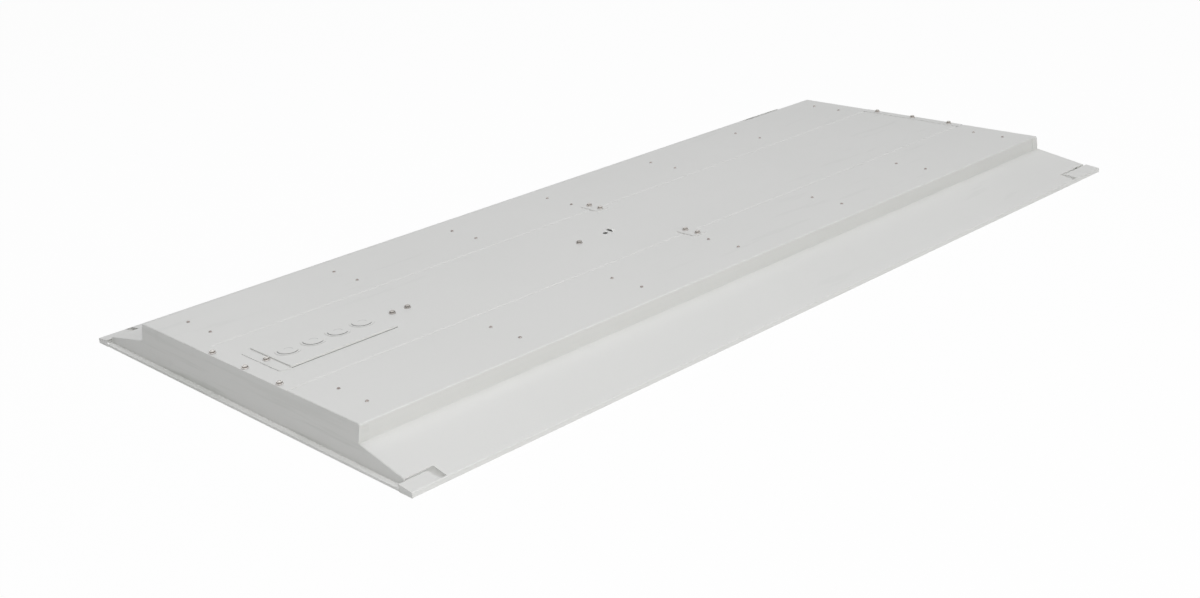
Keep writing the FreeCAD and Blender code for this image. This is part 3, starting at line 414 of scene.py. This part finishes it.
def make_piece(name, points, faces, material, body, node, smooth=radians(32)):
    """Mesh object in the fitting's own frame that rides on a body and stands for a frame node."""
    mesh = bpy.data.meshes.new(name)
    mesh.from_pydata(points.tolist(), [], faces.tolist())
    mesh.validate()
    mesh.materials.append(material)
    mesh.shade_smooth()
    mesh.set_sharp_from_angle(angle=smooth)
    piece = bpy.data.objects.new(name, mesh)
    bpy.context.scene.collection.objects.link(piece)
    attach(piece, body)
    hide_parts(node)
    return piece


def zinc_plate(name, flank_shade, bright):
    """Zinc plate: painted shade on the flanks, a painted highlight on up- and down-facing faces,
    fine turning lines.
    """
    material, spot, axes = start_material(name)
    cloud = between(grain(spot, 260.0, 3.0), 0.35, 0.65)
    facing = spot.node("TexCoord", {}, output="Normal")
    upright = abs(facing.node("SeparateXYZ", {0: facing}, output="Z"))
    # Painted highlight on faces looking up or down; the flanks keep the painted shade.
    wear_and_highlight = between(upright, 0.80, 0.97)
    color = blend_colors(wear_and_highlight * (0.75 + 0.25 * cloud), flank_shade, bright)
    lines = grain(spot, 900.0, 1.0, (1.0, 1.0, 6.0))
    return finish_material(material, color, 0.40 + cloud * 0.14, lines, 0.00003, metallic=0.92)


thread_pitch, thread_count = 0.0009, 6
thread_root, thread_crest = 0.00145, 0.0019
screw_reach, screw_point, head_height, washer_radius = 0.0065, 0.0008, 0.0027, 0.0041


def hex_screw_mesh():
    """Pointed thread, washer flange, hexagon with a turned chamfer, and a dished top."""
    radii, heights, flats = [0.0002], [-screw_reach], [0.0]
    for turn in range(thread_count):
        base = -screw_reach + screw_point + turn * thread_pitch
        radii += [thread_root, thread_crest]
        heights += [base, base + thread_pitch / 2]
        flats += [0.0, 0.0]
    radii += [0.0016, 0.0016, washer_radius, washer_radius, 0.0038, 0.0034, 0.0033, 0.0033, 0.0031,
              0.0029, 0.0022, 0.0019, 0.0003]
    heights += [-0.0004, 0.0, 0.0, 0.00035, 0.0006, 0.0007, 0.0008, 0.0022, 0.0025, head_height,
                head_height, 0.0023, 0.0023]
    flats += [0.0, 0.0, 0.0, 0.0, 0.0, 0.6, 1.0, 1.0, 0.7, 0.0, 0.0, 0.0, 0.0]
    return ring_mesh(radii, heights, flats)


# Each plate: flank colour in painted shade, then the painted highlight of the flat faces.
zinc = zinc_plate("zinc_plate", (0.29, 0.265, 0.245), (0.78, 0.77, 0.74))
dark_zinc = zinc_plate("dark_zinc_plate", (0.25, 0.235, 0.22), (0.56, 0.54, 0.51))
screw_sets = (("end_plate_screws", "housing", "screws_in_end_plates", zinc, 3, 2),
              ("tie_plate_screws", "housing", "screws_in_tie_plates", zinc, 4, 1),
              ("driver_screws", "housing", "screws_in_driver", dark_zinc, 1, 2),
              ("ground_screw", "housing", "screw_for_ground", dark_zinc, 1, 1),
              ("access_plate_screw", "access_cover", "screw_in_access_plate", zinc, 1, 1))
tie_screw_gap = 0.0205


def screw_places(node, rows, columns):
    """Places of the screws of one node, read from its box: columns along x and rows along y."""
    low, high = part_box(node)
    seat = high.z - head_height
    along = np.linspace(low.x + washer_radius, high.x - washer_radius, columns)
    if rows == 4:
        outer = high.y - washer_radius
        side = np.array([-outer, tie_screw_gap - outer, outer - tie_screw_gap, outer])
    else:
        side = np.linspace(low.y + washer_radius, high.y - washer_radius, rows)
    return [(x, y, seat) for x in along for y in side]


screw_points, screw_faces = hex_screw_mesh()
for node, body, name, metal, rows, columns in screw_sets:
    points, faces = repeated(screw_points, screw_faces, screw_places(node, rows, columns))
    make_piece(name, points, faces, metal, body, node)


# ---- Rivets: aluminium blind rivets set from below through each board. The domed head holds the
# board, and the upset tail stands above the deck with the end of its mandrel inside.

def rivet_mesh():
    """Domed head below, straight shank, and an upset tail with a hollow end above."""
    head_low, board_low, deck_top = 0.0384, 0.0393, 0.0415
    radii = [0.0004, 0.0016, 0.0027, 0.0032, 0.0031, 0.0018, 0.0018, 0.0017, 0.0015, 0.0012, 0.0008,
             0.0007, 0.0003]
    heights = [head_low, head_low + 0.0001, head_low + 0.0004, board_low - 0.0002, board_low,
               board_low, deck_top, deck_top + 0.0005, deck_top + 0.0009, deck_top + 0.0011,
               deck_top + 0.0011, deck_top + 0.0006, deck_top + 0.0006]
    return ring_mesh(radii, heights, turns=24)


def rivet_aluminium():
    """Plain aluminium, dulled, darker in the pits."""
    material, spot, axes = start_material("rivet_aluminium")
    pits = between(grain(spot, 700.0, 3.0), 0.40, 0.66)
    color = blend_colors(pits, (0.26, 0.22, 0.20), (0.50, 0.46, 0.43))
    return finish_material(material, color, 0.50 - pits * 0.12, pits, 0.00005, metallic=0.55)


rivet_points, rivet_faces = rivet_mesh()
places = [(x, y, 0.0) for x in rivet_columns for y in rivet_rows]
points, faces = repeated(rivet_points, rivet_faces, places)
rivets = make_piece("rivets_in_boards", points, faces, rivet_aluminium(), "housing", "board_rivets")


# ---- LED boards: metal-core boards with white solder mask, a copper track along each edge under
# the mask, and packages of yellow phosphor in white frames. Nylon connectors stand on them, and the
# driver's terminal blocks are of the same nylon.

def board_mask():
    """White solder mask over copper: the tracks stand up a little and show through greyer."""
    material, spot, (x, y, z) = start_material("board_mask")
    off_row = nearest(y, rivet_rows)
    track = between(off_row, 0.0042, 0.0046) * (1.0 - between(off_row, 0.0072, 0.0076))
    break_up = between(abs((x / 0.0125).math("FRACT") - 0.5), 0.03, 0.06)
    copper = track * break_up
    color = blend_colors(copper * 0.5, (0.80, 0.81, 0.79), (0.66, 0.68, 0.64))
    weave = grain(spot, 300.0, 2.0)
    return finish_material(material, color, 0.30 + weave * 0.1, copper + weave * 0.2, 0.00004)


def phosphor():
    """Yellow phosphor gel in a white frame, told apart by the distance from the board's middle."""
    material, spot, (x, y, z) = start_material("phosphor")
    off_row = nearest(y, rivet_rows)
    gel = 1.0 - between(off_row, 0.0009, 0.0011)
    cloud = grain(spot, 1500.0, 2.0)
    yellow = blend_colors(cloud, (0.86, 0.60, 0.12), (0.92, 0.72, 0.22))
    color = blend_colors(gel, (0.82, 0.82, 0.80), yellow)
    return finish_material(material, color, 0.42 - gel * 0.24, cloud - gel, 0.00005)


def nylon(name, first, second):
    """Moulded nylon: slight flow clouding and a fine spark-eroded skin."""
    material, spot, axes = start_material(name)
    flow = between(grain(spot, 90.0, 2.0, (1.0, 3.0, 3.0)), 0.3, 0.7)
    skin = grain(spot, 1800.0, 2.0)
    color = blend_colors(flow, first, second)
    return finish_material(material, color, 0.34 + skin * 0.12, skin, 0.00003)


mask, gel_cups = board_mask(), phosphor()
for number in ("1", "2", "3", "4"):
    dress("led_board_" + number, mask)
    dress("led_chips_" + number, gel_cups)
white_nylon = nylon("white_nylon", (0.78, 0.78, 0.75), (0.86, 0.86, 0.84))
for node in ("board_connectors", "driver_input_terminals", "driver_output_terminals"):
    dress(node, white_nylon)


# ---- Lenses: bowed sheets of opal acrylic that lie on the rails' ledges. The sheet is frosted on
# the room side, and light from the boards goes milky inside it.

def opal_acrylic():
    """Milky white with a soft skin of fine frosting and faint extrusion lines along the sheet."""
    material, spot, (x, y, z) = start_material("opal_acrylic")
    drawn = grain(spot, 30.0, 3.0, (0.15, 8.0, 1.0))
    frost = grain(spot, 1100.0, 2.0)
    color = blend_colors(drawn, (0.86, 0.87, 0.86), (0.91, 0.91, 0.90))
    return finish_material(material, color, 0.38 + frost * 0.16, drawn * 0.5 + frost * 0.5, 0.00004,
                           subsurface_weight=0.25, subsurface_scale=0.004)


opal = opal_acrylic()
dress("lens_front", opal)
dress("lens_rear", opal)


# ---- Cover screws: three captive round-head screws of zinc-plated steel that pull the driver cover
# up to the front rail. Each has a cross recess for a driver bit.

head_radius, head_depth = 0.0045, 0.0022


def cover_screw_mesh():
    """Round head upside down: dome below, flat seat above, short shank through the rail."""
    low, seat = -head_depth, 0.0
    radii = [0.0009, 0.0022, 0.0026, 0.0027, 0.0034, 0.0041, head_radius, head_radius, 0.0015,
             0.0015, 0.0009]
    heights = [low + 0.0012, low + 0.0011, low + 0.0001, low, low + 0.0003, low + 0.0010,
               seat - 0.0004, seat, seat, seat + 0.0032, seat + 0.0036]
    lobes = [0.55, 0.65, 0.65, 0.0, 0.0, 0.0, 0.0, 0.0, 0.0, 0.0, 0.0]
    return ring_mesh(radii, heights, lobes=lobes, turns=48)


low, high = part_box("cover_screws")
row_y = (low.y + high.y) / 2
columns = np.linspace(low.x + head_radius, high.x - head_radius, 3)
cover_points, cover_faces = cover_screw_mesh()
places = [(x, row_y, low.z + head_depth) for x in columns]
points, faces = repeated(cover_points, cover_faces, places)
cover_screws = make_piece("screws_in_driver_cover", points, faces, zinc, "driver_cover_body",
                          "cover_screws")


# ---- Driver: a galvanised steel can with a folded lid, screwed flat under the deck by its two
# ears. The zinc coat shows its crystals.

def galvanised():
    """Zinc spangle: flat crystals a few millimetres across, each with its own grey and sheen."""
    material, spot, axes = start_material("galvanised")
    crystal = spot.node("TexVoronoi", {"Vector": spot, "Scale": 190.0}, output="Color")
    tone = crystal.node("SeparateColor", {0: crystal})
    streak = grain(spot, 60.0, 3.0, (1.0, 8.0, 8.0))
    color = blend_colors(tone * 0.7 + streak * 0.3, (0.42, 0.44, 0.46), (0.68, 0.70, 0.72))
    return finish_material(material, color, 0.30 + tone * 0.22, tone * 0.3 + streak, 0.00003,
                           metallic=0.88)


spangle = galvanised()
dress("driver_case", spangle)
dress("driver_lid", spangle)


# ---- Wiring: stranded copper in vinyl, black, white, green and grey, a tinned ring under the
# ground screw, and an orange two-part disconnect between the building's wires and the driver.

def vinyl(name, first, second):
    """Extruded vinyl insulation: soft gloss, faint ripples and a little dust."""
    material, spot, axes = start_material(name)
    ripple = grain(spot, 160.0, 2.0)
    dust = between(grain(spot, 700.0, 2.0), 0.5, 0.7)
    color = blend_colors(ripple * 0.6 + dust * 0.2, first, second)
    return finish_material(material, color, 0.30 + dust * 0.2, ripple, 0.00005)


dress("supply_lead_black", vinyl("black_vinyl", (0.016, 0.016, 0.017), (0.05, 0.05, 0.05)))
dress("supply_lead_white", vinyl("white_vinyl", (0.74, 0.74, 0.72), (0.82, 0.82, 0.80)))
dress("ground_lead", vinyl("green_vinyl", (0.02, 0.16, 0.05), (0.05, 0.24, 0.09)))
grey_vinyl = vinyl("grey_vinyl", (0.30, 0.31, 0.33), (0.40, 0.41, 0.43))
for node in ("output_leads_front", "output_leads_rear", "board_link_wires"):
    dress(node, grey_vinyl)
orange_nylon = nylon("orange_nylon", (0.70, 0.18, 0.02), (0.80, 0.25, 0.04))
dress("disconnect_socket", orange_nylon)
dress("disconnect_plug", orange_nylon)


def tinned_copper():
    """Tin over copper: soft bright grey, worn warmer where the ring was crimped."""
    material, spot, axes = start_material("tinned_copper")
    worn = between(grain(spot, 420.0, 3.0), 0.50, 0.68)
    color = blend_colors(worn, (0.70, 0.69, 0.66), (0.58, 0.42, 0.30))
    return finish_material(material, color, 0.30 + worn * 0.15, worn, 0.00003, metallic=0.9)


dress("ground_ring", tinned_copper())


# ---- Table: a pale plain sheet under the fitting. It takes the fitting's shadow inside the
# outline, and its underside lets the glow through, so that the lens side is lit too.

table_middle, table_clear = (0.007, 0.006), (0.608, 0.303)
table_white, table_level, table_reach = 0.96, -0.0005, 14.0


def table_top():
    """White sheet, white to the camera outside the fitting's outline, clear from below."""
    material, spot, (x, y, z) = start_material("table_top")
    tree = material.node_tree
    path = tree.nodes.new("ShaderNodeLightPath")
    side = tree.nodes.new("ShaderNodeNewGeometry")
    fibre = blend_colors(grain(spot, 40.0, 2.0), (0.86, 0.86, 0.86), (0.90, 0.90, 0.90))
    plain = tree.nodes.new("ShaderNodeBsdfDiffuse")
    tree.links.new(fibre.socket, plain.inputs["Color"])
    glow = tree.nodes.new("ShaderNodeEmission")
    along = abs(x - table_middle[0]) / table_clear[0]
    across = abs(y - table_middle[1]) / table_clear[1]
    outside = between(along.math("MAXIMUM", across), 0.995, 1.0)
    looked_at = Shade(tree, path.outputs["Is Camera Ray"])
    for kind in ("Is Glossy Ray", "Is Transmission Ray"):
        looked_at = looked_at.math("MAXIMUM", Shade(tree, path.outputs[kind]))
    white_seen = looked_at * outside * table_white
    lit = tree.nodes.new("ShaderNodeMixShader")
    tree.links.new(white_seen.socket, lit.inputs[0])
    tree.links.new(plain.outputs[0], lit.inputs[1])
    tree.links.new(glow.outputs[0], lit.inputs[2])
    clear = Shade(tree, path.outputs["Is Shadow Ray"]).math("MAXIMUM",
                                                           Shade(tree, side.outputs["Backfacing"]))
    through = tree.nodes.new("ShaderNodeBsdfTransparent")
    surface = tree.nodes.new("ShaderNodeMixShader")
    tree.links.new(clear.socket, surface.inputs[0])
    tree.links.new(lit.outputs[0], surface.inputs[1])
    tree.links.new(through.outputs[0], surface.inputs[2])
    output = tree.nodes.new("ShaderNodeOutputMaterial")
    tree.links.new(surface.outputs[0], output.inputs["Surface"])
    return material


table_mesh = bpy.data.meshes.new("table")
turns_round = ((-1, -1), (1, -1), (1, 1), (-1, 1))
corners = [(x * table_reach, y * table_reach, table_level) for x, y in turns_round]
table_mesh.from_pydata(corners, [], [(0, 1, 2, 3)])
table_mesh.materials.append(table_top())
table = bpy.data.objects.new("table", table_mesh)
bpy.context.scene.collection.objects.link(table)
